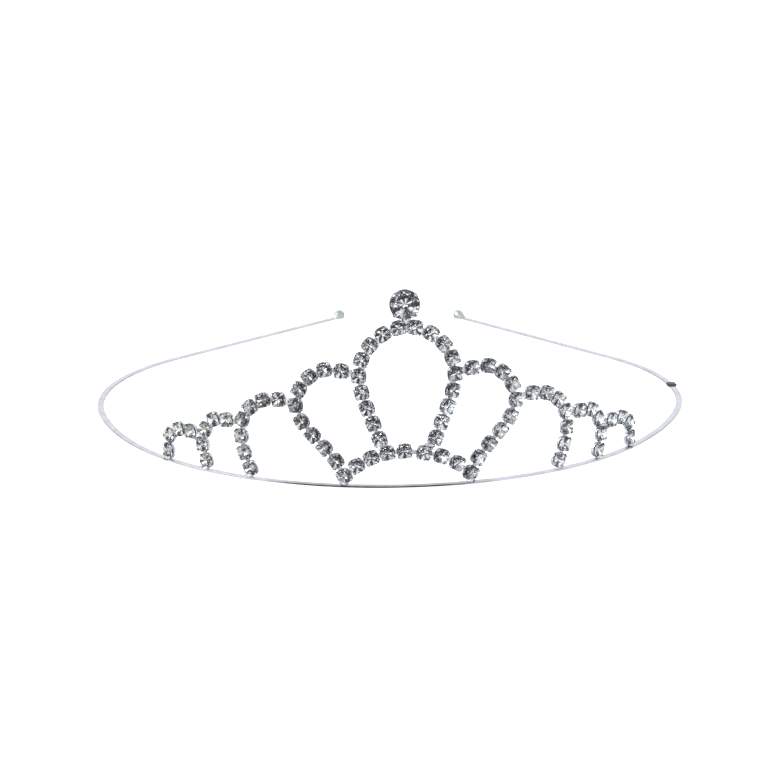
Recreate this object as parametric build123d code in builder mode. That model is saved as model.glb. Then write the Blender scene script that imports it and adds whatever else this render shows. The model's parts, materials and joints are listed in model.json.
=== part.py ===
from build123d import *
import math
import os

# Bridal tiara: arches bent from rhinestone cup chain, soldered along the front of a thin spring
# headband that lies flat, with a solitaire stone on top of the middle arch.
#
# Frame, in millimetres: the origin is the middle of the headband's front, on its underside.
# +X runs to the right as the tiara is seen from the front, +Y to the back and +Z up.
# The arches stand on a curved upright sheet that follows the headband. A place on that sheet is
# (across, height): the distance round the sheet from the panel's middle, and the height above
# the headband's underside.

# Headband: flattened spring wire, bent as tangent arcs and a straight end.
BAND_WIDTH = 1.35
BAND_THICKNESS = 0.3
BAND_EDGE_CHAMFER = 0.08
FRONT_RADIUS = 62.0
SIDE_RADIUS = 84.0
TEMPLE_RADIUS = 50.0
FLEX_AT = 64.0              # this and the next three are distances round the band from its middle
SIDE_END = 91.0
TEMPLE_END = 139.0
ARM_END = 193.4
FLEX_CLEARANCE = 0.05       # between an arm's round nose and its socket in the front band
PANEL_OFFSET = 5.8          # the panel is soldered on this far to the right of the band's middle

# End beads and temple crimp.
BEAD_RADIUS = 1.2
BEAD_CENTRE_HEIGHT = 0.7
BEAD_OVERHANG = 0.5         # of a bead's centre short of the wire's end
CRIMP_AT = 112.0
CRIMP_LENGTH = 2.0
CRIMP_WALL = 0.35

# Cup chain. The profiles are (radius, height above the cup's back) of one cup, its claws and stone.
CUP_RADIUS = 1.57
CUP_PROFILE = [(0, 0), (1.42, 0), (1.57, 0.15), (1.57, 0.92), (1.42, 0.89), (1.0, 0.2), (0, 0.2)]
CLAW_PROFILE = [(1.53, 0.6), (1.66, 0.78), (1.66, 1.1), (1.57, 1.26), (1.3, 1.4), (1.23, 1.32),
                (1.25, 1.25), (1.52, 1.1)]
STONE_PROFILE = [(0, 0.22), (1.49, 0.96), (1.49, 1.06), (0.85, 1.42), (0, 1.42)]
CLAW_ANGLE = 22.0
CLAW_COUNT = 4
LINK_WIDTH = 0.9
LINK_THICKNESS = 0.35
LINK_LIFT = 0.3             # of a link's back above the back of its cups
SHEET_DEPTH = 0.75          # the cups' backs lie this far inside the band's centreline
FOOT_HEIGHT = 2.1           # of the lowest cups' centres

# Solitaire: a larger copy of one cup and stone, upright over the panel's middle.
SOLITAIRE_SCALE = 1.95
SOLITAIRE_PLACE = (-0.4, 37.8)
STEM_WIDTH = 2.2
STEM_BELOW = 4.35           # the solder stem's lower and upper edges, below the solitaire's centre
STEM_ABOVE = 2.4

# Solder.
FOOT_PAD_RADIUS = 0.65
FOOT_PAD_HEIGHT = 0.6
SOLDER_WIDTH = 1.3
SOLDER_THICKNESS = 0.55

# Outlines of the strands on the right half of the sheet, each from its foot to its top.
INNER_FOOT = (12.9, FOOT_HEIGHT)
HALF_CENTRE_ARCH = [(5.7, 10.0), (8.7, 18.0), (9.6, 24.5), (6.5, 30.3)]
CENTRE_TOP = (0, 33.1)
INNER_ARCH = [INNER_FOOT, (18.6, 9.7), (22.8, 16.6), (20.2, 22.1), (13.2, 24.0)]
MIDDLE_ARCH = [(33.1, FOOT_HEIGHT), (35.0, 7.6), (34.6, 12.7), (31.6, 16.0), (26.5, 17.3)]
OUTER_ARCH = [(44.1, FOOT_HEIGHT), (44.8, 7.3), (42.7, 10.7), (38.6, 11.6)]
END_ARCH = [(55.3, FOOT_HEIGHT), (55.2, 5.0), (52.6, 7.1), (48.3, 7.6)]
RIGHT_BRIDGE = [INNER_FOOT, (6.7, 6.1), (3.3, 6.9)]
LEFT_BRIDGE = [(-12.9, FOOT_HEIGHT), (-7.2, 6.1), (-0.7, 7.4)]


def mirrored(outline):
    """The same outline on the left half of the sheet."""
    return [(-across, height) for across, height in outline]


def sheet_plane(across, height, slope=0.0):
    """Plane on the sheet: X along a chain that climbs at this slope in degrees, Z outwards."""
    turn = math.degrees((PANEL_OFFSET + across) / FRONT_RADIUS)
    outward = Vector(0, -1, 0).rotate(Axis.Z, turn)
    level = Vector(1, 0, 0).rotate(Axis.Z, turn)
    origin = Vector(0, FRONT_RADIUS, height) + outward * (FRONT_RADIUS - SHEET_DEPTH)
    climb = math.radians(slope)
    along = level * math.cos(climb) + Vector(0, 0, 1) * math.sin(climb)
    return Plane(origin=origin, x_dir=along, z_dir=outward)


def strand_planes(outline, count):
    """Planes for the cups of one strand, evenly spaced from one end of its outline to the other."""
    with BuildLine() as strand:
        Spline(*outline)
    wire = strand.wire()
    planes = []
    for index in range(count):
        distance = wire.length * index / (count - 1)
        place = wire.position_at(distance, position_mode=PositionMode.LENGTH)
        heading = wire.tangent_at(distance, position_mode=PositionMode.LENGTH)
        slope = math.degrees(math.atan2(heading.Y, heading.X))
        planes.append(sheet_plane(place.X, place.Y, slope))
    return planes


def plane_between(first, second):
    """Plane midway between two cups: X from one cup to the other, Z outwards."""
    middle = (first.origin + second.origin) / 2
    return Plane(origin=middle, x_dir=second.origin - first.origin, z_dir=first.z_dir + second.z_dir)


def nearest(plane, others):
    """The one of these planes whose origin is nearest."""
    return min(others, key=lambda other: (other.origin - plane.origin).length)


def copies(piece, planes):
    """One copy of a piece at each plane, as a group of separate solids."""
    with BuildPart() as group:
        with Locations(*planes):
            add(piece)
    return group.part


def turned(profile, angle=360.0):
    """A closed (radius, height) profile turned about the Z axis."""
    with BuildPart() as body:
        with BuildSketch(Plane.XZ):
            with BuildLine():
                Polyline(*profile, close=True)
            make_face()
        revolve(axis=Axis.Z, revolution_arc=angle)
    return body.part


def claw_cup():
    """Round cup with claws bent over its stone; its back is on Z = 0 and its mouth faces up."""
    claw = turned(CLAW_PROFILE, CLAW_ANGLE)
    first_claw = (360 / CLAW_COUNT - CLAW_ANGLE) / 2
    with BuildPart() as cup:
        add(turned(CUP_PROFILE))
        with PolarLocations(0, CLAW_COUNT, start_angle=first_claw):
            add(claw)
    return cup.part


def bar_between(first, second, width, thickness, lift):
    """Flat bar between two cups, with its ends hollowed to fit their round sides."""
    pitch = (second.origin - first.origin).length
    with BuildPart() as bar:
        with BuildSketch(plane_between(first, second).offset(lift)):
            Rectangle(pitch, width)
            with Locations((-pitch / 2, 0), (pitch / 2, 0)):
                Circle(CUP_RADIUS, mode=Mode.SUBTRACT)
        extrude(amount=thickness)
    return bar.part


def save(part, name):
    """Label one node and write its file."""
    part.label = name
    export_step(part, f"parts/{name}.step")


os.makedirs("parts", exist_ok=True)

# --- Headband ---------------------------------------------------------------------------------

flex_angle = math.degrees(FLEX_AT / FRONT_RADIUS)
flex_heading = Vector(1, 0, 0).rotate(Axis.Z, flex_angle)
flex_point = Vector(0, FRONT_RADIUS, 0) + Vector(0, -FRONT_RADIUS, 0).rotate(Axis.Z, flex_angle)

with BuildPart() as headband_front:
    with BuildSketch():
        with BuildLine():
            CenterArc((0, FRONT_RADIUS), FRONT_RADIUS, -90 - flex_angle, 2 * flex_angle)
        trace(line_width=BAND_WIDTH)
    extrude(amount=BAND_THICKNESS)
    chamfer(headband_front.edges().filter_by(GeomType.CIRCLE), BAND_EDGE_CHAMFER)
    with Locations(flex_point, (-flex_point.X, flex_point.Y)):
        Cylinder(BAND_WIDTH / 2 + FLEX_CLEARANCE, BAND_THICKNESS,
                 align=(Align.CENTER, Align.CENTER, Align.MIN), mode=Mode.SUBTRACT)

with BuildLine() as arm_path:
    flank = JernArc(flex_point, flex_heading, SIDE_RADIUS,
                    math.degrees((SIDE_END - FLEX_AT) / SIDE_RADIUS))
    temple = JernArc(flank @ 1, flank % 1, TEMPLE_RADIUS,
                     math.degrees((TEMPLE_END - SIDE_END) / TEMPLE_RADIUS))
    tail = Line(temple @ 1, temple @ 1 + (temple % 1) * (ARM_END - TEMPLE_END))

with BuildPart() as right_arm:
    with BuildSketch():
        trace(arm_path.line, line_width=BAND_WIDTH)
        with Locations(flex_point):
            Circle(BAND_WIDTH / 2)
    extrude(amount=BAND_THICKNESS)
    chamfer(right_arm.edges().filter_by(Axis.Z, reverse=True), BAND_EDGE_CHAMFER)
left_arm = mirror(right_arm.part, about=Plane.YZ)

bead_centre = tail @ 1 - (tail % 1) * BEAD_OVERHANG
with BuildPart() as right_end_bead:
    with Locations(bead_centre + Vector(0, 0, BEAD_CENTRE_HEIGHT)):
        Sphere(BEAD_RADIUS)
    split(bisect_by=Plane.XY, keep=Keep.TOP)
    add(right_arm.part, mode=Mode.SUBTRACT)
left_end_bead = mirror(right_end_bead.part, about=Plane.YZ)

crimp_place = arm_path.wire().position_at(CRIMP_AT - FLEX_AT, position_mode=PositionMode.LENGTH)
crimp_heading = arm_path.wire().tangent_at(CRIMP_AT - FLEX_AT, position_mode=PositionMode.LENGTH)
crimp_plane = Plane(crimp_place, x_dir=Vector(0, 0, 1).cross(crimp_heading), z_dir=crimp_heading)
with BuildPart() as temple_crimp:
    with BuildSketch(crimp_plane):
        Rectangle(BAND_WIDTH + 2 * CRIMP_WALL, BAND_THICKNESS + CRIMP_WALL, align=(Align.CENTER, Align.MIN))
    extrude(amount=CRIMP_LENGTH / 2, both=True)
    add(right_arm.part, mode=Mode.SUBTRACT)

save(headband_front.part, "headband_front")
save(right_arm.part, "right_arm")
save(left_arm, "left_arm")
save(right_end_bead.part, "right_end_bead")
save(left_end_bead, "left_end_bead")
save(temple_crimp.part, "temple_crimp")

# --- Strands of cup chain ---------------------------------------------------------------------

# Each strand: its outline, its count of cups, and whether its first cup is another strand's.
centre_outline = HALF_CENTRE_ARCH + [CENTRE_TOP] + mirrored(HALF_CENTRE_ARCH)[::-1]
STRANDS = {
    "centre_arch": (centre_outline, 18, False),
    "left_bridge": (LEFT_BRIDGE, 5, True),
    "right_bridge": (RIGHT_BRIDGE, 4, True),
    "left_inner_arch": (mirrored(INNER_ARCH), 10, False),
    "right_inner_arch": (INNER_ARCH, 10, False),
    "left_middle_arch": (mirrored(MIDDLE_ARCH), 7, False),
    "right_middle_arch": (MIDDLE_ARCH, 7, False),
    "left_outer_arch": (mirrored(OUTER_ARCH), 5, False),
    "right_outer_arch": (OUTER_ARCH, 5, False),
    "left_end_arch": (mirrored(END_ARCH), 4, False),
    "right_end_arch": (END_ARCH, 4, False),
}
CUP = claw_cup()
STONE = turned(STONE_PROFILE)

planes = {}
for name, (outline, count, shares_first) in STRANDS.items():
    places = strand_planes(outline, count)
    planes[name] = places[1:] if shares_first else places
    save(copies(CUP, planes[name]), f"{name}_cups")
    save(copies(STONE, planes[name]), f"{name}_stones")
    with BuildPart() as links:
        for first, second in zip(places, places[1:]):
            add(bar_between(first, second, LINK_WIDTH, LINK_THICKNESS, LINK_LIFT))
    save(links.part, f"{name}_links")

# The two bridges end either side of a longer bare link.
bridge_ends = planes["left_bridge"][-1], planes["right_bridge"][-1]
save(bar_between(*bridge_ends, LINK_WIDTH, LINK_THICKNESS, LINK_LIFT), "bridge_wire")

# --- Solitaire --------------------------------------------------------------------------------

solitaire_plane = sheet_plane(*SOLITAIRE_PLACE)
save(copies(scale(CUP, by=SOLITAIRE_SCALE), [solitaire_plane]), "solitaire_setting")
save(copies(scale(STONE, by=SOLITAIRE_SCALE), [solitaire_plane]), "solitaire_stone")

# The solder stem fills the space between the setting and the two cups at the top of the arch.
nearest_first = sorted(
    planes["centre_arch"], key=lambda cup: (cup.origin - solitaire_plane.origin).length)
top_cups = [solitaire_plane.to_local_coords(cup.origin) for cup in nearest_first[:2]]
with BuildPart() as solitaire_stem:
    with BuildSketch(solitaire_plane):
        with Locations((0, -(STEM_BELOW + STEM_ABOVE) / 2)):
            Rectangle(STEM_WIDTH, STEM_BELOW - STEM_ABOVE)
        Circle(CUP_RADIUS * SOLITAIRE_SCALE, mode=Mode.SUBTRACT)
        with Locations(*[(cup.X, cup.Y) for cup in top_cups]):
            Circle(CUP_RADIUS, mode=Mode.SUBTRACT)
    extrude(amount=SOLDER_THICKNESS)
save(solitaire_stem.part, "solitaire_stem")

# --- Solder -----------------------------------------------------------------------------------

# Foot pads fill the gap between the headband and the lowest cups; the other beads join a strand's
# end to the nearest cup of its neighbour.
for side in ("left", "right"):
    inner, middle, outer, end = [f"{side}_{name}_arch" for name in ("inner", "middle", "outer", "end")]
    with BuildPart() as feet_solder:
        for name in (inner, middle, outer, end):
            foot = planes[name][0]
            below = Vector(0, 0, BAND_THICKNESS - FOOT_HEIGHT)
            with Locations(foot.origin + foot.z_dir * SHEET_DEPTH + below):
                Cylinder(FOOT_PAD_RADIUS, FOOT_PAD_HEIGHT, align=(Align.CENTER, Align.CENTER, Align.MIN))
            with Locations(foot):
                Cylinder(CUP_RADIUS, 2 * BAND_WIDTH, mode=Mode.SUBTRACT)
                add(CUP, mode=Mode.SUBTRACT)
    save(feet_solder.part, f"{side}_feet_solder")

    centre_foot = planes["centre_arch"][0 if side == "right" else -1]
    touching = [
        (centre_foot, f"{side}_bridge"),
        (planes[inner][-1], "centre_arch"),
        (planes[middle][-1], inner),
        (planes[outer][-1], middle),
        (planes[end][-1], outer),
    ]
    with BuildPart() as strand_solder:
        for cup, neighbour in touching:
            add(bar_between(cup, nearest(cup, planes[neighbour]), SOLDER_WIDTH, SOLDER_THICKNESS, 0))
    save(strand_solder.part, f"{side}_strand_solder")
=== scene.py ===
import json
import math
import random

import bmesh
import bpy
import numpy as np
from mathutils import Matrix, Vector, noise


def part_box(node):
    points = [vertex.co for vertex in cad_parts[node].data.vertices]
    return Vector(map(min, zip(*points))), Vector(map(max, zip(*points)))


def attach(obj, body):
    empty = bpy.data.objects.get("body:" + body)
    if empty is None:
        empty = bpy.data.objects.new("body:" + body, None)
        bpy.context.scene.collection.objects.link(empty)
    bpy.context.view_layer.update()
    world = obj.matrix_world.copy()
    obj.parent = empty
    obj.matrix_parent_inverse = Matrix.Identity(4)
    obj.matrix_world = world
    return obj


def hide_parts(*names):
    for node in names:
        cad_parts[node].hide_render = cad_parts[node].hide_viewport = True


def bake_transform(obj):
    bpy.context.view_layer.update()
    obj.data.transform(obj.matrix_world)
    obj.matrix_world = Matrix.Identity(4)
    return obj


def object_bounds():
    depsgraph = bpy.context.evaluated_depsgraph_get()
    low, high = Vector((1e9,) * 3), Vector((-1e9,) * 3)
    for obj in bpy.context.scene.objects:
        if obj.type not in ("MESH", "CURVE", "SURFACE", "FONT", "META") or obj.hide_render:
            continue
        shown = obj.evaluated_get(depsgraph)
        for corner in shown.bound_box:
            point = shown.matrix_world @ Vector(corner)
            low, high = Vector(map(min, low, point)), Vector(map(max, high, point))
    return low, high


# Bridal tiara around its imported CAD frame. Everything is in metres, in the CAD frame: +X to the
# right as the tiara is seen from the front, +Y to the back, +Z up, and the headband's underside
# on Z = 0. The CAD's stones, cups, band and solder say where each visible piece goes and how big
# it is; the pieces here give them their facets, claws, rounded edges and finishes.

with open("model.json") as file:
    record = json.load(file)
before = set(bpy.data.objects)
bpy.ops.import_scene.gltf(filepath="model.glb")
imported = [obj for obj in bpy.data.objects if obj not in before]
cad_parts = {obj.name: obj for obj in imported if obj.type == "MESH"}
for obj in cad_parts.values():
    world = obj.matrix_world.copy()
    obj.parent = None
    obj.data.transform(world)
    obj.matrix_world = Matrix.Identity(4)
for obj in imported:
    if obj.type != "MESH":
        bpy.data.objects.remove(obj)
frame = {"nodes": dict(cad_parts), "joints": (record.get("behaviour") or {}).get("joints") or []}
cad_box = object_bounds()
MM = 0.001
SEED = 7
rng = random.Random(SEED)

SAME_POINT = 0.0001 * MM    # CAD points nearer than this are one point

SIDES = ("left", "right")
STRANDS = ["centre_arch"] + [
    f"{side}_{strand}"
    for side in SIDES
    for strand in ("bridge", "inner_arch", "middle_arch", "outer_arch", "end_arch")
]

# One cup and its stone, in millimetres, for a stone of this girdle radius. Larger ones are scaled.
# Heights are above the cup's back.
GIRDLE_RADIUS = 1.49
GIRDLE_HEIGHTS = (0.96, 1.06)
TABLE_RADIUS = 0.85
TABLE_HEIGHT = 1.42
CULET_HEIGHT = 0.22
STAR_TIP_RADIUS = 1.17      # where the crown's star facets end
LOWER_TIP_RADIUS = 1.05     # where the pavilion's lower girdle facets end
CHAIN_FACETS = 12           # main facets round a chain stone, and round the solitaire
SOLITAIRE_FACETS = 14
CUP_RADIUS = 1.57
CUP_OUTSIDE = [(1.27, 0.0), (1.43, 0.03), (1.53, 0.1), (1.57, 0.24), (1.57, 0.6), (1.57, 0.84),
               (1.56, 0.9), (1.535, 0.92)]
CUP_INSIDE = [(1.51, 0.9), (1.43, 0.8), (1.0, 0.2)]
CUP_SQUARENESS = 2.8        # exponent of the outside's outline: 2 is a circle
CUP_SEGMENTS = 48
SCALLOP_FROM = 0.5          # the wall above this height dips between the claws
SCALLOP_DEPTH = 0.45
CLAW_COUNT = 4
# Middle of a claw's sections: distance beyond the cup's outside, and height. Then their sizes.
CLAW_CENTRES = [(-0.05, 0.5), (0.03, 0.8), (0.03, 1.02), (-0.04, 1.18), (-0.2, 1.28), (-0.42, 1.33)]
CLAW_WIDTHS = [0.8, 0.78, 0.72, 0.64, 0.52, 0.28]
CLAW_THICKNESS = [0.16, 0.16, 0.16, 0.15, 0.13, 0.1]
CLAW_SQUARENESS = 3.0       # exponent of a claw's section
CLAW_SECTION_POINTS = 10
SOLITAIRE_SQUARENESS = 2.0
SOLITAIRE_CLAW_SLIMNESS = 0.5

CREASE_ANGLE = math.radians(50)     # sharper edges of a cup are not smoothed
FARTHEST_NEIGHBOUR = 1.5    # a cup's second neighbour is at most this many times as far as its first

# Each stone and cup leans by up to this much.
STONE_TILT = math.radians(4)
CUP_TILT = math.radians(1.5)
LEAST_ASIDE = 0.4           # a stone's sideways value is its place times a random share from here to 1

# Solder lumps: their unevenness, and the size and share of its fine part.
SOLDER_UNEVENNESS = 0.3
SOLDER_WAVES = 1.3
SOLDER_FINE_WAVES = 3.1
SOLDER_FINE_SHARE = 0.4

# Headband.
BAND_STEP = 1.0 * MM            # between the points of the wire's path
BAND_SEARCH_REACH = 2.0 * MM    # wire further aside than this is not part of the same cut
BAND_SMOOTHING_ROUNDS = 8
BAND_CORNER_RADIUS = 0.03 * MM
BAND_FLAT_MARGIN = 0.015 * MM   # keeps the section's flats flat up to their corners
HEADING_REACH = 2           # steps either side of a place that give the wire's heading there
PAINTED_DARK_WITHIN = 16 * MM       # the band's colour is painted darker this near the middle, a painted dark reflection, and is its own bright tone beyond the next
BRIGHT_BEYOND = 25 * MM

# Fittings. End beads: (place along the wire, half width, half height) in bead radii from the
# bead's centre.
BEAD_SECTIONS = [(-1.6, 0.6, 0.2), (-1.3, 0.66, 0.4), (-0.95, 0.76, 0.62), (-0.7, 0.88, 0.8),
                 (-0.4, 0.96, 0.93), (0.0, 1.0, 1.0), (0.4, 0.95, 0.92), (0.7, 0.78, 0.74), (0.9, 0.55, 0.5),
                 (0.97, 0.34, 0.3), (0.93, 0.16, 0.14)]
BEAD_NECK_FROM = -0.7       # the neck drops towards the wire from here, by this much per unit of length
BEAD_NECK_DROP = 0.45
# Temple crimp: (place along the wire in half lengths, size of its section).
CRIMP_SECTIONS = [(-1.0, 0.8), (-0.93, 0.95), (-0.7, 1.0), (-0.45, 0.93), (-0.2, 0.99), (0.2, 0.99),
                  (0.45, 0.93), (0.7, 1.0), (0.93, 0.95), (1.0, 0.8)]
BEAD_SQUARENESS = 2.0       # exponents of their sections
CRIMP_SQUARENESS = 4.0
FITTING_POINTS = 20

# Camera, as the photograph was taken.
CAMERA_AZIMUTH = math.radians(1.93)
CAMERA_ELEVATION = math.radians(15.56)
CAMERA_ROLL = math.radians(-0.58)
CAMERA_DISTANCE = 650.9 * MM
CAMERA_LENS = 134.1
AIM_HEIGHT = 0.9 * MM

# The room as metal and stones mirror it: strengths of light, and where it changes. Directions are
# unit vectors, so an edge is given as the range of one of their parts.
ROOM_LIGHT = 0.97
ROOM_DARK_SIDE = 0.15
ROOM_CEILING = 0.5
CEILING_EDGE = (0.8, 0.95)
DARK_SIDE_EDGE = (-0.83, -0.73)
DARK_SIDE_NARROWING = 0.9       # with height
DARK_SIDE_TURN = 0.08           # to the left
SPARKLE = (0.25, 1.9)           # light of the dimmest and brightest things that a stone mirrors
CLUTTER_SCALE = 5.0             # of those things: more is smaller
FLOOR_SIZE = 8.0
FLOOR_GAP = 0.02 * MM           # the floor lies this far below the band
# To mirror rays the floor is a glow, a painted reflection: this strong in front, weaker behind.
FLOOR_LIGHT = 0.93
FLOOR_BEHIND = 0.5
FLOOR_BEHIND_EDGE = (0.3, 0.7)
PAINTED_CONTACT_DARK = 0.04            # metal near the floor mirrors a painted dark contact line, the floor's dim glow to mirror rays there
NEAR_FLOOR = 2.5 * MM


# --- Places read from the CAD frame ---------------------------------------------------------------

def solids(node):
    """The separate solids in one CAD node, each as an array of its points, from left to right."""
    mesh = bmesh.new()
    mesh.from_mesh(frame["nodes"][node].data)
    bmesh.ops.remove_doubles(mesh, verts=mesh.verts, dist=SAME_POINT)
    seen = set()
    found = []
    for start in mesh.verts:
        if start in seen:
            continue
        seen.add(start)
        group = [start]
        for vert in group:
            for edge in vert.link_edges:
                other = edge.other_vert(vert)
                if other not in seen:
                    seen.add(other)
                    group.append(other)
        found.append(np.array([vert.co for vert in group]))
    mesh.free()
    return sorted(found, key=lambda points: tuple(points.mean(0)))


hinges = {joint["child"]: Vector(joint["pos_m"]) for joint in frame["joints"]}
hinge = hinges["right_arm"]
FRONT_RADIUS = (hinge.x ** 2 + hinge.y ** 2) / (2 * hinge.y)
ARC_CENTRE = Vector((0, FRONT_RADIUS, 0))
band_low, band_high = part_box("headband_front")
BAND_HALF_WIDTH = -band_low.y
BAND_HALF_THICKNESS = (band_high.z - band_low.z) / 2
BAND_MIDDLE = Vector((0, 0, (band_low.z + band_high.z) / 2))
AIM = Vector((0, (cad_box[0][1] + cad_box[1][1]) / 2, AIM_HEIGHT))


def outward(point):
    """Level direction from the front arc's centre through a point: the way its stone faces."""
    direction = Vector(point) - ARC_CENTRE
    direction.z = 0
    return direction.normalized()


def stone_seats(node):
    """(culet, outward direction, girdle radius) of each stone in a CAD node."""
    seats = []
    for points in solids(node):
        facing = outward(points.mean(0))
        depth = points @ np.array(facing)
        culet = Vector(points[depth.argmin()])
        offsets = points - np.array(culet)
        radial = offsets - np.outer(offsets @ np.array(facing), facing)
        seats.append((culet, facing, np.linalg.norm(radial, axis=1).max()))
    return seats


def chain_direction(index, seats):
    """Direction of the chain at one stone, from the stones on either side of it."""
    here = seats[index][0]
    others = sorted((seat[0] for seat in seats if seat[0] != here), key=lambda p: (p - here).length)
    if not others:
        return Vector((1, 0, 0))
    near = others[0] - here
    for other in others[1:3]:
        far = other - here
        if far.dot(near) < 0 and far.length < FARTHEST_NEIGHBOUR * near.length:
            return (far - near).normalized()
    return near.normalized()


def cup_places(node):
    """A matrix for each stone of a CAD node: X along the chain, Z outwards, origin at the cup's back.
    It holds the scale too, so shapes are given in millimetres for the common stone."""
    seats = stone_seats(node)
    places = []
    for index, (culet, facing, radius) in enumerate(seats):
        size = radius / GIRDLE_RADIUS
        along = chain_direction(index, seats)
        across = facing.cross(along).normalized()
        along = across.cross(facing)
        origin = culet - facing * CULET_HEIGHT * size
        turn = Matrix((along, across, facing)).transposed().to_4x4()
        places.append(Matrix.Translation(origin) @ turn @ Matrix.Scale(size, 4))
    return places


# --- Mesh building --------------------------------------------------------------------------------

class Shape:
    """Points and faces gathered for one piece."""

    def __init__(self):
        self.points = []
        self.faces = []
        self.slots = []
        self.shades = []
        self.facets = []

    def add(self, other, matrix, shade=None, cut=False):
        """Another shape's points and faces, placed by a matrix; cut faces get a random share in their
        painted brightness, a painted reflection.
        """
        first = len(self.points)
        self.points += [matrix @ point for point in other.points]
        self.faces += [[first + corner for corner in face] for face in other.faces]
        self.slots += other.slots
        self.facets += [(facet + rng.random()) / 2 if cut else facet for facet in other.facets]
        self.shades += other.shades if shade is None else [shade] * len(other.points)

    def ring_strip(self, rings, slot=0, shades=None):
        """Quads between rings of equal count, with both ends closed."""
        count = len(rings[0])
        first = len(self.points)
        for number, ring in enumerate(rings):
            self.points += [Vector(point) for point in ring]
            self.shades += [shades[number] if shades else 1.0] * count
        for row in range(len(rings) - 1):
            for column in range(count):
                here = first + row * count + column
                beside = first + row * count + (column + 1) % count
                self.face([here, beside, beside + count, here + count], slot)
        last = first + (len(rings) - 1) * count
        self.face([first + column for column in reversed(range(count))], slot)
        self.face([last + column for column in range(count)], slot)

    def face(self, corners, slot=0, facet=0.0):
        """One face, with the slot of its material and its facet's painted brightness, a painted reflection.
        """
        self.faces.append(corners)
        self.slots.append(slot)
        self.facets.append(facet)

    def piece(self, name, materials, smooth=True):
        """The shape as a Blender object with its materials."""
        mesh = bpy.data.meshes.new(name)
        mesh.from_pydata(self.points, [], self.faces)
        mesh.polygons.foreach_set("material_index", self.slots)
        mesh.polygons.foreach_set("use_smooth", [smooth] * len(self.faces))
        shade = mesh.attributes.new("shade", "FLOAT", "POINT")
        shade.data.foreach_set("value", self.shades)
        facet = mesh.attributes.new("facet", "FLOAT", "FACE")
        facet.data.foreach_set("value", self.facets)
        for finish in materials:
            mesh.materials.append(finish)
        piece = bpy.data.objects.new(name, mesh)
        bpy.context.scene.collection.objects.link(piece)
        return piece


def polar(radius, angle, height):
    """The point at this distance and angle round the Z axis."""
    return Vector((radius * math.cos(angle), radius * math.sin(angle), height))


def rounded(value, exponent):
    """A sine or cosine pushed outwards, which squares an ellipse into a rounded rectangle."""
    return math.copysign(abs(value) ** (2 / exponent), value)


def section(centre, sideways, upwards, squareness, count):
    """A closed outline round a centre: an ellipse of these half axes, squared by the exponent."""
    ring = []
    for step in range(count):
        around = math.tau * step / count
        ring.append(centre + sideways * rounded(math.cos(around), squareness)
                    + upwards * rounded(math.sin(around), squareness))
    return ring


# --- Cup chain ------------------------------------------------------------------------------------

def corner_reach(angle, squareness):
    """How far a rounded square reaches at an angle, its flat sides being at 1."""
    reach = abs(math.cos(angle)) ** squareness + abs(math.sin(angle)) ** squareness
    return reach ** (-1 / squareness)


def cup_shape(squareness, claw_slimness=1.0):
    """One squarish cup with a scalloped rim and claws bent over the stone, in millimetres."""
    shape = Shape()
    turn = math.tau / CUP_SEGMENTS
    rows = []
    profile = [(radius, height, True) for radius, height in CUP_OUTSIDE]
    profile += [(radius, height, False) for radius, height in CUP_INSIDE]
    for radius, height, outside in profile:
        row = []
        for step in range(CUP_SEGMENTS):
            angle = step * turn
            between_claws = 0.5 + 0.5 * math.cos(CLAW_COUNT * angle)
            rise = max(0, height - SCALLOP_FROM)
            reach = corner_reach(angle, squareness) if outside else 1.0
            row.append(polar(radius * reach, angle, height - rise * SCALLOP_DEPTH * between_claws))
        rows.append(row)
    # each point's height fades the cups' painted reflection patches out towards the back
    heights = [height / GIRDLE_HEIGHTS[0] for _, height, _ in profile]
    shape.ring_strip(rows, shades=heights)

    for claw in range(CLAW_COUNT):
        angle = math.tau * (claw + 0.5) / CLAW_COUNT
        wall = CUP_RADIUS * corner_reach(angle, squareness)
        shape.ring_strip(claw_rings(wall, angle, claw_slimness), shades=[1.0] * len(CLAW_CENTRES))
    return shape


def claw_rings(wall, angle, slimness):
    """Rounded sections of one claw, from its root in the cup's wall to its tip on the stone."""
    rings = []
    sideways = polar(1, angle + math.pi / 2, 0)
    centres = [polar(wall + beyond, angle, height) for beyond, height in CLAW_CENTRES]
    for index, centre in enumerate(centres):
        run = centres[min(index + 1, len(centres) - 1)] - centres[max(index - 1, 0)]
        outer = sideways.cross(run.normalized())
        rings.append(section(
            centre, sideways * (CLAW_WIDTHS[index] / 2 * slimness),
            outer * (CLAW_THICKNESS[index] / 2), CLAW_SQUARENESS, CLAW_SECTION_POINTS))
    return rings


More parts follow.
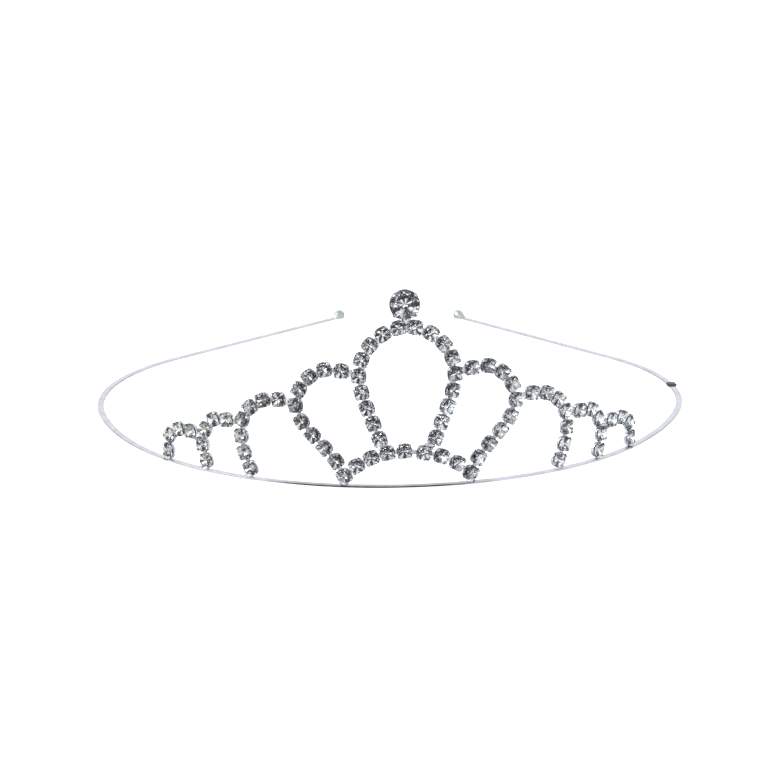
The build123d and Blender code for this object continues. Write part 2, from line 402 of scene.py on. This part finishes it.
def stone_shape(facet_count):
    """One faceted stone: clear crown and girdle in slot 0, foiled pavilion in slot 1."""
    shape = Shape()
    half = math.pi / facet_count
    crown_slope = (TABLE_HEIGHT - GIRDLE_HEIGHTS[1]) / (GIRDLE_RADIUS - TABLE_RADIUS)
    star_height = TABLE_HEIGHT - crown_slope * (STAR_TIP_RADIUS * math.cos(half) - TABLE_RADIUS)
    pavilion_slope = (GIRDLE_HEIGHTS[0] - CULET_HEIGHT) / GIRDLE_RADIUS
    lower_height = CULET_HEIGHT + pavilion_slope * LOWER_TIP_RADIUS * math.cos(half)

    def ring(radius, height, count, offset=0.0):
        start = len(shape.points)
        shape.points += [
            polar(radius, offset + math.tau * step / count, height) for step in range(count)
        ]
        return [start + step for step in range(count)]

    table = ring(TABLE_RADIUS, TABLE_HEIGHT, facet_count)
    stars = ring(STAR_TIP_RADIUS, star_height, facet_count, half)
    upper = ring(GIRDLE_RADIUS, GIRDLE_HEIGHTS[1], 2 * facet_count)
    lower = ring(GIRDLE_RADIUS, GIRDLE_HEIGHTS[0], 2 * facet_count)
    tips = ring(LOWER_TIP_RADIUS, lower_height, facet_count, half)
    shape.points.append(Vector((0, 0, CULET_HEIGHT)))
    culet = len(shape.points) - 1

    shape.face(table)
    for k in range(facet_count):
        following = (k + 1) % facet_count
        corner, middle, end = 2 * k, 2 * k + 1, (2 * k + 2) % (2 * facet_count)
        shape.face([table[k], stars[k], table[following]])
        shape.face([table[k], stars[k - 1], upper[corner], stars[k]])
        shape.face([stars[k], upper[corner], upper[middle]])
        shape.face([stars[k], upper[middle], upper[end]])
        # alternate pavilion facets are painted dark and bright, a painted reflection
        for first, second, bright in ((corner, middle, 0), (middle, end, 1)):
            shape.face([upper[first], lower[first], lower[second], upper[second]])
            shape.face([tips[k], lower[second], lower[first]], slot=1, facet=bright)
        shape.face([culet, tips[k], lower[corner], tips[k - 1]], slot=1, facet=k % 2)
    shape.shades = [1.0] * len(shape.points)
    return shape


def wobble(limit):
    """A small random lean of at most this angle."""
    lean = rng.uniform(0, limit)
    heading = rng.uniform(0, math.tau)
    return Matrix.Rotation(lean, 4, Vector((math.cos(heading), math.sin(heading), 0)))


def tilted_about(height, turn):
    """A turn about a point on the cup's axis at this height."""
    centre = Vector((0, 0, height))
    return Matrix.Translation(centre) @ turn @ Matrix.Translation(-centre)


def add_chain(name, stones_node, cups_node, cup, stone):
    """One strand's cups and stones, in place of the CAD's."""
    cups = Shape()
    stones = Shape()
    for place in cup_places(stones_node):
        lean = tilted_about(GIRDLE_HEIGHTS[0], wobble(CUP_TILT))
        cups.add(cup, place @ lean)
        spin = Matrix.Rotation(rng.uniform(0, math.tau), 4, "Z")
        tilt = tilted_about(GIRDLE_HEIGHTS[0], wobble(STONE_TILT) @ spin)
        # the sideways value tints the crystal and sets the foil's painted light, brighter towards the ends
        aside = rng.uniform(LEAST_ASIDE, 1) * place.translation.x / cad_box[1][0]
        stones.add(stone, place @ tilt, shade=aside, cut=True)
    cup_piece = cups.piece(f"{name}_claw_cups", [PLATED_CUP])
    stone_piece = stones.piece(f"{name}_crystals", [CRYSTAL, FOIL], smooth=False)
    sharpen(cup_piece)
    for piece, node, slot in ((cup_piece, cups_node, "plated_cup"), (stone_piece, stones_node, "crystal")):
        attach(piece, "front")
        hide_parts(node)


def sharpen(piece):
    """Sharp edges shade as creases."""
    mesh = piece.data
    edit = bmesh.new()
    edit.from_mesh(mesh)
    for edge in edit.edges:
        edge.smooth = len(edge.link_faces) == 2 and edge.calc_face_angle() < CREASE_ANGLE
    edit.to_mesh(mesh)
    edit.free()


# --- Solder ---------------------------------------------------------------------------------------

def blob(shape, centre, axes, radii):
    """A lump of solder: a rounded body whose surface rises and sinks with noise."""
    ball = bmesh.new()
    bmesh.ops.create_icosphere(ball, subdivisions=4, radius=1)
    ball.verts.index_update()
    lump = Shape()
    for vert in ball.verts:
        swell = noise.noise(vert.co * SOLDER_WAVES + centre / MM)
        swell += SOLDER_FINE_SHARE * noise.noise(vert.co * SOLDER_FINE_WAVES - centre / MM)
        swell = 1 + SOLDER_UNEVENNESS * swell
        lump.points.append(sum((axis * (radius * part * swell)
                                for axis, radius, part in zip(axes, radii, vert.co)), Vector()))
    lump.faces = [[vert.index for vert in face.verts] for face in ball.faces]
    lump.slots = [0] * len(lump.faces)
    lump.facets = [0.0] * len(lump.faces)
    lump.shades = [1.0] * len(lump.points)
    ball.free()
    shape.add(lump, Matrix.Translation(centre))


def solder_piece(name, node, grow):
    """Lumps of solder at a CAD node's solder solids, each this much larger than its solid."""
    shape = Shape()
    for points in solids(node):
        low, high = points.min(0), points.max(0)
        centre = Vector((low + high) / 2)
        facing = outward(centre)
        level = facing.cross(Vector((0, 0, 1)))
        axes = (level, facing, Vector((0, 0, 1)))
        radii = [np.ptp(points @ np.array(axis)) / 2 + more * MM for axis, more in zip(axes, grow)]
        blob(shape, centre, axes, radii)
    piece = shape.piece(name, [SOLDER])
    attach(piece, "front")
    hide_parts(node)


# --- Headband -------------------------------------------------------------------------------------

def arm_path():
    """The right arm's centreline, walked from its hinge to its tip by cutting its CAD mesh."""
    mesh = frame["nodes"]["right_arm"].data
    corners = np.array([vert.co for vert in mesh.vertices])
    ends = np.array([edge.vertices[:] for edge in mesh.edges])
    first, second = corners[ends[:, 0]], corners[ends[:, 1]]
    here = Vector((hinge.x, hinge.y, 0))
    heading = Vector((0, 0, 1)).cross(outward(here))
    path = [here]
    while True:
        target = here + heading * BAND_STEP
        normal = np.array(heading)
        side_a = (first - np.array(target)) @ normal
        side_b = (second - np.array(target)) @ normal
        cut = side_a * side_b < 0
        share = (side_a[cut] / (side_a[cut] - side_b[cut]))[:, None]
        points = first[cut] + (second[cut] - first[cut]) * share
        sideways = np.array(heading.cross(Vector((0, 0, 1))))
        offsets = (points - np.array(target)) @ sideways
        offsets = offsets[abs(offsets) < BAND_SEARCH_REACH]
        if len(offsets) < 2:
            return path
        target += Vector(sideways) * (offsets.min() + offsets.max()) / 2
        heading = (target - here).normalized()
        here = target
        path.append(here)


def smoothed(path):
    """A path with its small wobbles averaged out; its ends stay."""
    for _ in range(BAND_SMOOTHING_ROUNDS):
        path = [path[0]] + [
            (before + 2 * point + after) / 4 for before, point, after in zip(path, path[1:], path[2:])
        ] + [path[-1]]
    return path


def front_path():
    """The front arc's centreline, from the left hinge to the right one."""
    half_angle = math.asin(hinge.x / FRONT_RADIUS)
    steps = round(2 * half_angle * FRONT_RADIUS / BAND_STEP)
    path = []
    for step in range(steps + 1):
        angle = half_angle * (2 * step / steps - 1)
        path.append(ARC_CENTRE + Vector((math.sin(angle), -math.cos(angle), 0)) * FRONT_RADIUS)
    return path


def corner_points():
    """One rounded corner of the wire, measured inwards from where its two flats would meet."""
    drops = [BAND_CORNER_RADIUS * (1 - math.sin(math.radians(turn))) for turn in (0, 30, 60, 90)]
    end = BAND_CORNER_RADIUS + BAND_FLAT_MARGIN
    return [(0, end), *zip(reversed(drops), drops), (end, 0)]


def band_section(centre, sideways):
    """Rectangle with rounded corners round a point of the wire."""
    corner = corner_points()
    ring = []
    for right, up in ((1, 1), (-1, 1), (-1, -1), (1, -1)):
        for across, down in corner if right == up else reversed(corner):
            level = Vector((0, 0, up * (BAND_HALF_THICKNESS - down)))
            ring.append(centre + sideways * (right * (BAND_HALF_WIDTH - across)) + level)
    return ring


def band_piece(name, path, first, last):
    """The stretch of headband between two points of its path: flattened wire with rounded edges."""
    shape = Shape()
    rings = []
    lengths = []
    for index in range(first, last + 1):
        before = path[max(index - 1, 0)]
        after = path[min(index + 1, len(path) - 1)]
        sideways = (after - before).normalized().cross(Vector((0, 0, 1)))
        rings.append(band_section(path[index] + BAND_MIDDLE, sideways))
        lengths.append(index * BAND_STEP)
    shape.ring_strip(rings)
    piece = shape.piece(name, [PLATED_BAND])
    add_length_map(piece, rings, lengths)
    return piece


def add_length_map(piece, rings, lengths):
    """UVs with the distance along the wire in U and the way round its section in V."""
    layer = piece.data.uv_layers.new(name="along_wire")
    count = len(rings[0])
    for polygon in piece.data.polygons:
        columns = [piece.data.loops[loop].vertex_index % count for loop in polygon.loop_indices]
        wraps = max(columns) - min(columns) > 1
        for loop, column in zip(polygon.loop_indices, columns):
            row = piece.data.loops[loop].vertex_index // count
            around = column + (count if wraps and column == 0 else 0)
            layer.data[loop].uv = (lengths[row] / MM, around / count)


def band_path():
    """The whole headband's centreline from its left tip to its right one, and its hinges' indices."""
    arm = smoothed(arm_path())
    front = front_path()
    mirrored_arm = [Vector((-point.x, point.y, point.z)) for point in reversed(arm)]
    left_hinge_at = len(arm) - 1
    right_hinge_at = left_hinge_at + len(front) - 1
    return mirrored_arm[:-1] + front + arm[1:], left_hinge_at, right_hinge_at


def outermost_foot(side, path):
    """The index on the band's path nearest to the outermost foot's solder on one side."""
    feet = solids(f"{side}_feet_solder")
    foot = Vector((feet[0] if side == "left" else feet[-1]).mean(0))
    foot.z = 0
    return min(range(len(path)), key=lambda index: (path[index] - foot).length)


def headband(path, left_hinge_at, right_hinge_at):
    """The wire: a front piece between the outermost feet, and an arm on each side. An arm's end section is
    the front's, so there is no gap between them."""
    left_seam = outermost_foot("left", path)
    right_seam = outermost_foot("right", path)
    front = band_piece("band_front", path, left_seam, right_seam)
    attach(front, "front")
    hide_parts("headband_front")
    arms = (("left", 0, left_seam, left_hinge_at, -1),
            ("right", right_seam, len(path) - 1, right_hinge_at, 1))
    for side, first, last, hinge_at, step in arms:
        arm = band_piece(f"band_{side}_arm", path, first, last)
        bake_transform(arm)
        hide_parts(f"{side}_arm")


def wire_heading(path, place):
    """Direction of the headband's wire at the point of its path nearest to a place."""
    flat = Vector((place.x, place.y, 0))
    index = min(range(len(path)), key=lambda number: (path[number] - flat).length)
    index = min(max(index, HEADING_REACH), len(path) - 1 - HEADING_REACH)
    return (path[index + HEADING_REACH] - path[index - HEADING_REACH]).normalized()


def end_bead(side, path):
    """Drop-shaped bead on one end of the wire, with a neck, a flat underside and a dimpled tip."""
    node = f"{side}_end_bead"
    low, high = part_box(node)
    radius = (high.y - low.y) / 2
    centre = (low + high) / 2
    centre.z = high.z - radius
    heading = wire_heading(path, centre) * (1 if side == "right" else -1)
    sideways = heading.cross(Vector((0, 0, 1)))
    shape = Shape()
    rings = []
    for along, width, height in BEAD_SECTIONS:
        sink = min(0, along - BEAD_NECK_FROM) * BEAD_NECK_DROP * radius
        middle = centre + heading * (along * radius) + Vector((0, 0, sink))
        ring = section(middle, sideways * (width * radius), Vector((0, 0, height * radius)),
                       BEAD_SQUARENESS, FITTING_POINTS)
        rings.append([Vector((point.x, point.y, max(point.z, 0))) for point in ring])
    shape.ring_strip(rings)
    piece = shape.piece(f"{side}_bead_tip", [END_BEAD])
    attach(piece, f"{side}_arm")
    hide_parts(node)


def crimp_ring(path):
    """Crimped sleeve round the right arm, with two pressed grooves."""
    low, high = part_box("temple_crimp")
    centre = (low + high) / 2
    heading = wire_heading(path, centre)
    sideways = heading.cross(Vector((0, 0, 1)))
    corners = np.array([vert.co for vert in frame["nodes"]["temple_crimp"].data.vertices])
    half_length = np.ptp(corners @ np.array(heading)) / 2
    half_width = np.ptp(corners @ np.array(sideways)) / 2
    half_height = (high.z - low.z) / 2
    shape = Shape()
    shape.ring_strip([
        section(centre + heading * (along * half_length), sideways * (half_width * size),
                Vector((0, 0, half_height * size)), CRIMP_SQUARENESS, FITTING_POINTS)
        for along, size in CRIMP_SECTIONS])
    piece = shape.piece("right_crimp_sleeve", [CRIMP])
    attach(piece, "right_arm")
    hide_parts("temple_crimp")


# --- Materials ------------------------------------------------------------------------------------

# A Mix node has sockets for numbers, vectors and colours under the same names; these are its colours.
MIX_FIRST_COLOUR, MIX_SECOND_COLOUR, MIX_COLOUR_RESULT = 6, 7, 2

# Where noise is low and where it is high, for patches with soft edges.
NOISE_LOW = 0.35
NOISE_HIGH = 0.65

# The foil's painted brightness, painted reflection and painted light: its patches' share, how fast it grows
# with the distance aside, and how far to the left of the middle it is darkest.
FOIL_PATCHES = 0.4
FOIL_GROWTH = 0.35
FOIL_DARKEST = 0.15


def add_node(tree, kind, inputs=None, **settings):
    """One shader node with its settings; each input is a value or another node's output."""
    node = tree.nodes.new(kind)
    for setting, value in settings.items():
        setattr(node, setting, value)
    for socket, value in (inputs or {}).items():
        if isinstance(value, bpy.types.NodeSocket):
            tree.links.new(value, node.inputs[socket])
        else:
            node.inputs[socket].default_value = value
    return node


def new_material(name):
    """A material with nothing but its Principled shader and output, and that shader."""
    finish = bpy.data.materials.new(name)
    finish.use_nodes = True
    return finish, finish.node_tree, finish.node_tree.nodes["Principled BSDF"]


def noise_texture(tree, scale, detail=3.0, stretch=(1, 1, 1), coordinates="Object"):
    """Noise from 0 to 1; the scale is in features per millimetre, or per UV unit."""
    source = add_node(tree, "ShaderNodeTexCoord").outputs[coordinates]
    metres = 1 if coordinates == "UV" else 1 / MM
    placed = add_node(tree, "ShaderNodeMapping", {
        "Vector": source, "Scale": [scale * metres * part for part in stretch]})
    texture = add_node(tree, "ShaderNodeTexNoise", {
        "Vector": placed.outputs["Vector"], "Scale": 1.0, "Detail": detail})
    return texture.outputs["Fac"]


def between(tree, factor, low, high, start=NOISE_LOW, end=NOISE_HIGH):
    """A number that goes from low to high as the factor goes from start to end."""
    spread = add_node(tree, "ShaderNodeMapRange", {
        "Value": factor, "From Min": start, "From Max": end, "To Min": low, "To Max": high})
    return spread.outputs["Result"]


def colours_between(tree, factor, first, second, start=NOISE_LOW, end=NOISE_HIGH):
    """A colour that goes from first to second as the factor goes from start to end. Each of the two
    is three numbers or another node's colour."""
    share = between(tree, factor, 0.0, 1.0, start, end)
    mix = add_node(tree, "ShaderNodeMix", {
        "Factor": share, MIX_FIRST_COLOUR: with_alpha(first), MIX_SECOND_COLOUR: with_alpha(second)},
        data_type="RGBA")
    return mix.outputs[MIX_COLOUR_RESULT]


def with_alpha(colour):
    """Three numbers as an opaque colour; a node's output as it is."""
    return (*colour, 1) if isinstance(colour, tuple) else colour


def bump(tree, shader, height, distance):
    """Small surface relief, in millimetres."""
    relief = add_node(tree, "ShaderNodeBump", {"Height": height, "Distance": distance * MM})
    tree.links.new(relief.outputs["Normal"], shader.inputs["Normal"])


def plate(name, dark, light, rough, grain, relief=0.01):
    """Bright plating: two tones in soft patches, with fine grain in its roughness and relief."""
    finish, tree, shader = new_material(name)
    patches = noise_texture(tree, 0.35)
    fine = noise_texture(tree, grain, detail=4.0)
    tree.links.new(colours_between(tree, patches, dark, light), shader.inputs["Base Color"])
    tree.links.new(between(tree, fine, rough[0], rough[1]), shader.inputs["Roughness"])
    shader.inputs["Metallic"].default_value = 1.0
    bump(tree, shader, fine, relief)
    return finish


def band_finish():
    """Plated wire with grain drawn out along it, painted darker along the middle of the front: a painted
    dark reflection.
    """
    finish, tree, shader = new_material("plated_band")
    grain = noise_texture(tree, 1.0, detail=4.0, stretch=(0.25, 60, 1), coordinates="UV")
    patches = noise_texture(tree, 0.35)
    bright = colours_between(tree, patches, (0.62, 0.65, 0.68), (0.74, 0.76, 0.86))
    # painted dark reflection: the darker tones given to the middle of the front
    painted_dark = colours_between(tree, patches, (0.34, 0.36, 0.38), (0.5, 0.52, 0.56))
    place = add_node(tree, "ShaderNodeTexCoord").outputs["Object"]
    distance = add_node(tree, "ShaderNodeVectorMath", {0: place}, operation="LENGTH").outputs["Value"]
    tree.links.new(colours_between(tree, distance, painted_dark, bright, PAINTED_DARK_WITHIN, BRIGHT_BEYOND),
                   shader.inputs["Base Color"])
    tree.links.new(between(tree, grain, 0.1, 0.2), shader.inputs["Roughness"])
    shader.inputs["Metallic"].default_value = 1.0
    bump(tree, shader, grain, 0.001)
    return finish


def cup_finish():
    """Plated cups with painted reflections: light and dark patches painted into their colour stand for what
    their small curves mirror, and give way to the pale tone towards the back.
    """
    finish, tree, shader = new_material("plated_cup")
    # painted reflection: noise for the light and dark patches that the cups' curves would mirror
    painted_reflection = noise_texture(tree, 2.2, detail=3.0)
    depth = add_node(tree, "ShaderNodeAttribute", attribute_name="shade").outputs["Fac"]
    # lower on the cup the painted reflection is lifted towards the pale tone, by up to this much
    rim = between(tree, depth, 0.12, 0.0, start=0.45, end=0.9)
    lit = add_node(tree, "ShaderNodeMath", {0: painted_reflection, 1: rim}, operation="ADD")
    colour = colours_between(tree, lit.outputs["Value"], (0.14, 0.14, 0.14), (0.74, 0.77, 0.86),
                             start=0.42, end=0.58)
    tree.links.new(colour, shader.inputs["Base Color"])
    grain = noise_texture(tree, 3.0)
    tree.links.new(between(tree, grain, 0.14, 0.26), shader.inputs["Roughness"])
    shader.inputs["Metallic"].default_value = 1.0
    bump(tree, shader, grain, 0.06)
    return finish


def crystal_finish():
    """Clear glass, faintly olive towards the left."""
    finish, tree, shader = new_material("crystal")
    aside = add_node(tree, "ShaderNodeAttribute", attribute_name="shade").outputs["Fac"]
    colour = colours_between(tree, aside, (0.88, 0.89, 0.79), (0.97, 0.985, 0.985),
                             start=-0.6, end=0.0)
    tree.links.new(colour, shader.inputs["Base Color"])
    smears = noise_texture(tree, 1.2)
    tree.links.new(between(tree, smears, 0.0, 0.03), shader.inputs["Roughness"])
    shader.inputs["Transmission Weight"].default_value = 1.0
    shader.inputs["IOR"].default_value = 1.58
    return finish


def foil_finish():
    """Silvered foil on the stones' backs, painted from dark to bright from facet to facet, a painted
    reflection. Towards the ends, most of all on the right, it is painted brighter: painted light."""
    finish, tree, shader = new_material("foil")
    facet = add_node(tree, "ShaderNodeAttribute", attribute_name="facet").outputs["Fac"]
    patches = noise_texture(tree, 2.5)
    # painted sparkle: each facet's painted brightness plus noise patches, a painted reflection
    painted_sparkle = add_node(tree, "ShaderNodeMath", {
        0: patches, 1: FOIL_PATCHES, 2: facet}, operation="MULTIPLY_ADD").outputs["Value"]
    aside = add_node(tree, "ShaderNodeAttribute", attribute_name="shade").outputs["Fac"]
    reach = add_node(tree, "ShaderNodeMath", {0: aside, 1: FOIL_DARKEST}, operation="ADD").outputs["Value"]
    distance = add_node(tree, "ShaderNodeMath", {0: reach}, operation="ABSOLUTE").outputs["Value"]
    # painted light: brighter the further the stone is from just left of the middle
    lit = add_node(tree, "ShaderNodeMath", {
        0: distance, 1: FOIL_GROWTH, 2: painted_sparkle}, operation="MULTIPLY_ADD").outputs["Value"]
    # painted shade tone of the dark facets, lifted towards the ends
    shadow = colours_between(tree, distance, (0.06, 0.06, 0.065), (0.34, 0.35, 0.35),
                             start=0.15, end=0.65)
    tree.links.new(colours_between(tree, lit, shadow, (0.97, 0.985, 1.0), start=0.44, end=0.8),
                   shader.inputs["Base Color"])
    shader.inputs["Metallic"].default_value = 1.0
    shader.inputs["Roughness"].default_value = 0.04
    return finish


def solder_finish():
    """Soft solder: pale, satin, with small frozen ripples."""
    finish, tree, shader = new_material("solder")
    ripples = noise_texture(tree, 2.2, detail=5.0)
    tree.links.new(colours_between(tree, ripples, (0.74, 0.75, 0.79), (0.95, 0.95, 0.97)),
                   shader.inputs["Base Color"])
    tree.links.new(between(tree, ripples, 0.2, 0.42), shader.inputs["Roughness"])
    shader.inputs["Metallic"].default_value = 1.0
    bump(tree, shader, ripples, 0.06)
    return finish


def crimp_finish():
    """Oxidised crimp: dark olive, worn lighter in small patches."""
    finish, tree, shader = new_material("crimp")
    wear = noise_texture(tree, 1.6, detail=5.0)
    colour = colours_between(tree, wear, (0.035, 0.032, 0.02), (0.16, 0.15, 0.09),
                             start=0.4, end=0.75)
    tree.links.new(colour, shader.inputs["Base Color"])
    tree.links.new(between(tree, wear, 0.32, 0.55), shader.inputs["Roughness"])
    shader.inputs["Metallic"].default_value = 0.55
    bump(tree, shader, wear, 0.04)
    return finish


PLATED_BAND = band_finish()
PLATED_LINK = plate("plated_link", (0.42, 0.43, 0.46), (0.72, 0.73, 0.78), (0.25, 0.4), 2.0)
END_BEAD = plate("end_bead", (0.5, 0.55, 0.52), (0.74, 0.79, 0.77), (0.4, 0.5), 1.2, relief=0.02)
PLATED_CUP = cup_finish()
CRYSTAL = crystal_finish()
FOIL = foil_finish()
SOLDER = solder_finish()
CRIMP = crimp_finish()


def finish_node(node, finish):
    """Give a CAD node that stays in view its finish."""
    mesh = frame["nodes"][node].data
    mesh.materials.clear()
    mesh.materials.append(finish)


# --- Stage ----------------------------------------------------------------------------------------

def facing_camera(tree, direction):
    """1 for a direction towards the camera and a little to its left, 0 well away from it."""
    split = add_node(tree, "ShaderNodeSeparateXYZ", {"Vector": direction})
    climb = add_node(tree, "ShaderNodeMath", {0: split.outputs["Z"], 1: 0.0}, operation="MAXIMUM")
    lifted = add_node(tree, "ShaderNodeMath", {
        0: climb.outputs["Value"], 1: DARK_SIDE_NARROWING, 2: split.outputs["Y"]}, operation="MULTIPLY_ADD")
    turned = add_node(tree, "ShaderNodeMath", {
        0: split.outputs["X"], 1: DARK_SIDE_TURN, 2: lifted.outputs["Value"]}, operation="MULTIPLY_ADD")
    return between(tree, turned.outputs["Value"], 1.0, 0.0, *DARK_SIDE_EDGE)


def make_world():
    """White to the eye; to the metal and stones, a bright room with a dark side behind the camera."""
    world = bpy.data.worlds.new("studio")
    world.use_nodes = True
    tree = world.node_tree
    tree.nodes.clear()
    direction = add_node(tree, "ShaderNodeTexCoord").outputs["Generated"]
    rays = add_node(tree, "ShaderNodeLightPath")
    dark_side = facing_camera(tree, direction)
    height = add_node(tree, "ShaderNodeSeparateXYZ", {"Vector": direction}).outputs["Z"]
    lit = between(tree, height, ROOM_LIGHT, ROOM_CEILING, *CEILING_EDGE)
    room = between(tree, dark_side, lit, ROOM_DARK_SIDE, 0.0, 1.0)

    # What the stones see: the same room, broken by the windows and furniture that make them sparkle.
    clutter = add_node(tree, "ShaderNodeTexVoronoi", {"Vector": direction, "Scale": CLUTTER_SCALE})
    cells = add_node(tree, "ShaderNodeSeparateXYZ", {"Vector": clutter.outputs["Color"]}).outputs["X"]
    sparkle = between(tree, cells, *SPARKLE)
    inside = add_node(tree, "ShaderNodeMath", {
        0: rays.outputs["Transmission Depth"], 1: 0.5}, operation="GREATER_THAN").outputs["Value"]
    seen = add_node(tree, "ShaderNodeMix", {"Factor": inside}, data_type="FLOAT")
    tree.links.new(room, seen.inputs["A"])
    tree.links.new(sparkle, seen.inputs["B"])
    camera = add_node(tree, "ShaderNodeMix", {"Factor": rays.outputs["Is Camera Ray"]}, data_type="FLOAT")
    tree.links.new(seen.outputs["Result"], camera.inputs["A"])
    camera.inputs["B"].default_value = 1.0
    background = add_node(tree, "ShaderNodeBackground", {
        "Color": (0.985, 0.99, 1.0, 1), "Strength": camera.outputs["Result"]})
    add_node(tree, "ShaderNodeOutputWorld", {"Surface": background.outputs["Background"]})
    bpy.context.scene.world = world


def make_floor():
    """Plain pale floor under the headband. To mirror rays it glows instead of being lit, a painted
    reflection: bright, or dark where it is close.
    """
    bpy.ops.mesh.primitive_plane_add(size=FLOOR_SIZE, location=(0, 0, -FLOOR_GAP))
    floor = bpy.context.object
    floor.name = "floor"
    finish, tree, shader = new_material("pale_floor")
    shader.inputs["Base Color"].default_value = (0.9, 0.9, 0.905, 1)
    shader.inputs["Roughness"].default_value = 0.9
    rays = add_node(tree, "ShaderNodeLightPath")
    incoming = add_node(tree, "ShaderNodeNewGeometry").outputs["Incoming"]
    away = add_node(tree, "ShaderNodeVectorMath", {0: incoming}, operation="SCALE")
    away.inputs["Scale"].default_value = -1.0
    dark_side = facing_camera(tree, away.outputs["Vector"])
    close = between(tree, rays.outputs["Ray Length"], 1.0, 0.0, NEAR_FLOOR, 2 * NEAR_FLOOR)
    dark = add_node(tree, "ShaderNodeMath", {0: dark_side, 1: close}, operation="MULTIPLY")
    heading = add_node(tree, "ShaderNodeSeparateXYZ", {"Vector": away.outputs["Vector"]}).outputs["Y"]
    lit = between(tree, heading, FLOOR_LIGHT, FLOOR_BEHIND, *FLOOR_BEHIND_EDGE)
    # painted reflection: the glow that mirror rays see in place of the lit floor
    painted_reflection = add_node(tree, "ShaderNodeEmission", {
        "Color": (0.98, 0.98, 1.0, 1),
        "Strength": between(tree, dark.outputs["Value"], lit, PAINTED_CONTACT_DARK, 0.0, 1.0)})
    mix = add_node(tree, "ShaderNodeMixShader", {
        0: rays.outputs["Is Glossy Ray"], 1: shader.outputs["BSDF"], 2: painted_reflection.outputs["Emission"]})
    tree.links.new(mix.outputs["Shader"], tree.nodes["Material Output"].inputs["Surface"])
    floor.data.materials.append(finish)


def make_light(name, place, size, power):
    """A soft square light aimed at the tiara."""
    lamp = bpy.data.lights.new(name, "AREA")
    lamp.size = size
    lamp.energy = power
    light = bpy.data.objects.new(name, lamp)
    light.location = place
    light.rotation_euler = (AIM - Vector(place)).to_track_quat("-Z", "Y").to_euler()
    bpy.context.scene.collection.objects.link(light)
    return light


def make_camera():
    """Camera at the photograph's angle."""
    data = bpy.data.cameras.new("camera")
    data.lens = CAMERA_LENS
    camera = bpy.data.objects.new("camera", data)
    flat = CAMERA_DISTANCE * math.cos(CAMERA_ELEVATION)
    camera.location = AIM + Vector((flat * math.sin(CAMERA_AZIMUTH), -flat * math.cos(CAMERA_AZIMUTH),
                                    CAMERA_DISTANCE * math.sin(CAMERA_ELEVATION)))
    look = (AIM - camera.location).to_track_quat("-Z", "Y").to_matrix()
    roll = Matrix.Rotation(CAMERA_ROLL, 3, "Z")
    camera.rotation_euler = (look @ roll).to_euler()
    bpy.context.scene.collection.objects.link(camera)
    bpy.context.scene.camera = camera


# --- Build ----------------------------------------------------------------------------------------

cup = cup_shape(CUP_SQUARENESS)
chain_stone = stone_shape(CHAIN_FACETS)
for strand in STRANDS:
    add_chain(strand, f"{strand}_stones", f"{strand}_cups", cup, chain_stone)
    finish_node(f"{strand}_links", PLATED_LINK)
add_chain("solitaire", "solitaire_stone", "solitaire_setting",
          cup_shape(SOLITAIRE_SQUARENESS, SOLITAIRE_CLAW_SLIMNESS), stone_shape(SOLITAIRE_FACETS))
finish_node("bridge_wire", PLATED_LINK)

for side in SIDES:
    solder_piece(f"{side}_foot_solder_lumps", f"{side}_feet_solder", grow=(0.15, 0.05, 0.1))
    solder_piece(f"{side}_joint_solder_lumps", f"{side}_strand_solder", grow=(0.2, 0.25, 0.1))
solder_piece("stem_solder_lump", "solitaire_stem", grow=(0.1, 0.3, 0.25))

path, left_hinge_at, right_hinge_at = band_path()
headband(path, left_hinge_at, right_hinge_at)
crimp_ring(path)
for side in SIDES:
    end_bead(side, path)

make_world()
make_floor()
make_camera()
overhead = make_light("overhead", (0.1, 0.1, 0.9), size=0.8, power=9)
overhead.visible_glossy = False     # else the band's top would mirror it and vanish into the floor
make_light("left_fill", (-0.8, -0.2, 0.5), size=0.6, power=5)
bpy.context.scene.view_settings.view_transform = "Standard"
